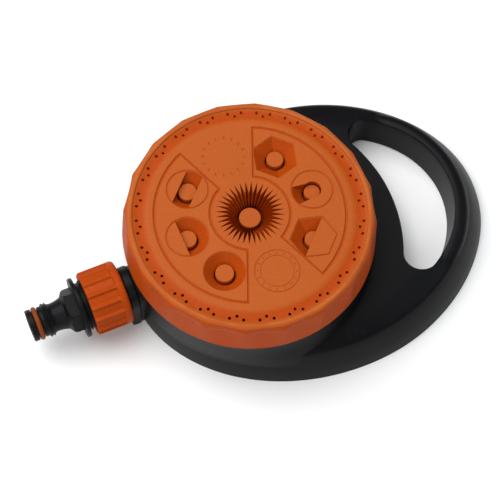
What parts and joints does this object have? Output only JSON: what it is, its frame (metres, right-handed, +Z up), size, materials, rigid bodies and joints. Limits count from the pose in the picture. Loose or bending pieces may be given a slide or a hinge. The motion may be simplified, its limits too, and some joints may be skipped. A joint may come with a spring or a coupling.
{
  "type": "lawn sprinkler",
  "caption": "Low stationary lawn sprinkler: a round rotating pattern turret on an egg-shaped base with a loop carrying handle, a hose swivel nut and a click-on hose nipple.",
  "frame": {"origin": "on the ground under the turret's axis, at the middle of the flat underside", "axes": "+Z up along the turret's axis, +X toward the carrying handle, -X toward the hose connector"},
  "size_m": [0.247, 0.1509, 0.0602],
  "materials": {
    "black_plastic": "satin moulded",
    "orange_plastic": "satin moulded",
    "orange_rubber": "smooth seal",
    "black_rubber": "smooth seal",
    "steel": "plain"
  },
  "bodies": {
    "base": {"base_shell": "black_plastic", "bottom_cover": "black_plastic", "cover_screw_1": "steel", "cover_screw_2": "steel", "cover_screw_3": "steel", "cover_screw_4": "steel", "inlet_duct": "black_plastic", "duct_seal": "black_rubber", "port_wave_washer": "steel", "detent_spring": "steel", "spring_seat": "steel", "hose_washer": "black_rubber", "filter_screen": "steel", "connector_nipple": "black_plastic", "connector_ring": "orange_rubber"},
    "turret": {"turret_cap": "orange_plastic", "core_plate": "orange_plastic", "pivot_spring": "steel", "pivot_washer": "steel", "pivot_screw": "steel"},
    "nut": {"swivel_nut": "orange_plastic"},
    "detent": {"detent_plunger": "black_plastic"},
    "seal": {"port_seal": "black_rubber"}
  },
  "joints": [
    {"name": "turret_spin", "type": "hinge", "parent": "base", "child": "turret", "pos_m": [0, 0, 0.04], "axis": [0, 0, 1], "continuous": true},
    {"name": "nut_spin", "type": "hinge", "parent": "base", "child": "nut", "pos_m": [-0.078, 0, 0.0228], "axis": [-1, 0, 0], "continuous": true},
    {"name": "detent_press", "type": "slide", "parent": "base", "child": "detent", "axis": [0, 0, 1], "range_m": [-0.001, 0], "stiffness_N_per_m": 400, "springref_m": 0.002, "deforming": ["detent_spring"]},
    {"name": "seal_press", "type": "slide", "parent": "base", "child": "seal", "axis": [0, 0, 1], "range_m": [-0.0004, 0], "stiffness_N_per_m": 600, "springref_m": 0.001, "deforming": ["port_wave_washer"]}
  ]
}
